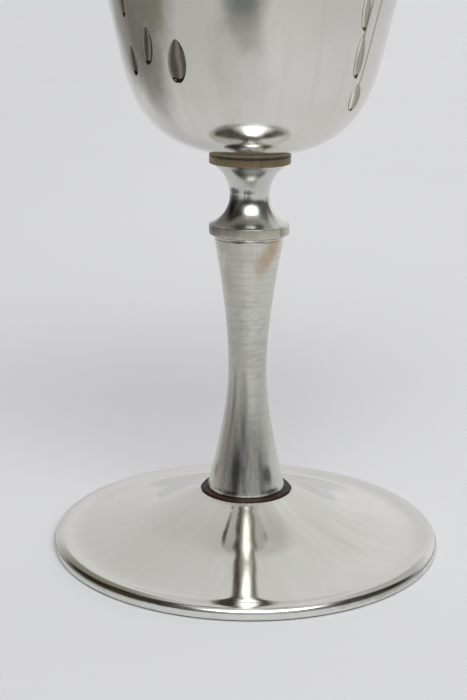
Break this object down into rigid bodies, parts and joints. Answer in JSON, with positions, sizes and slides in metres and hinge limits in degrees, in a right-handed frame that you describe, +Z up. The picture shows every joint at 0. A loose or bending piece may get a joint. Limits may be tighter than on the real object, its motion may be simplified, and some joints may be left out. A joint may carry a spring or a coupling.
{
  "type": "communion chalice",
  "caption": "Silver-plated communion chalice: flared bowl with pressed teardrops, collared neck, hourglass stem and wide conical foot, clamped by a central threaded rod.",
  "frame": {"origin": "centre of the foot on the surface that the chalice stands on", "axes": "+Z up along the chalice's axis; -Y is the plain front of the bowl between its two clusters of teardrops"},
  "size_m": [0.09, 0.09, 0.16],
  "materials": {
    "bowl_plate": "polished",
    "neck_plate": "polished",
    "stem_plate": "satin",
    "foot_plate": "polished",
    "foot_ring_plate": "satin",
    "boss_brass": "satin",
    "washer_brass": "satin",
    "gasket_fibre": "matte",
    "rod_steel": "satin",
    "hardware_steel": "satin",
    "nut_brass": "satin"
  },
  "bodies": {
    "stand": {"foot_ring": "foot_ring_plate", "foot": "foot_plate", "stem_gasket": "gasket_fibre", "stem": "stem_plate", "neck": "neck_plate", "spreader_plate": "hardware_steel"},
    "washer_ride": {"bowl_washer": "washer_brass"},
    "cup": {"bowl": "bowl_plate", "bowl_boss": "boss_brass", "tie_rod": "rod_steel"},
    "lock_ride": {"lock_washer": "hardware_steel"},
    "nut": {"foot_nut": "nut_brass"}
  },
  "joints": [
    {"name": "cup_lift", "type": "slide", "parent": "stand", "child": "washer_ride", "axis": [0, 0, 1], "range_m": [0, 0.00325]},
    {"name": "cup_unscrew", "type": "hinge", "parent": "washer_ride", "child": "cup", "pos_m": [0, 0, 0.0899], "axis": [0, 0, 1], "range_deg": [0, 1440]},
    {"name": "nut_drop", "type": "slide", "parent": "stand", "child": "lock_ride", "axis": [0, 0, -1], "range_m": [0, 0.0024]},
    {"name": "nut_unscrew", "type": "hinge", "parent": "lock_ride", "child": "nut", "pos_m": [0, 0, 0.0065], "axis": [0, 0, -1], "range_deg": [0, 1082]}
  ],
  "couplings": [
    {"joint": "cup_lift", "follows": "cup_unscrew", "m_per_rad": 0.00012732},
    {"joint": "nut_unscrew", "follows": "nut_drop", "rad_per_m": 7854}
  ]
}
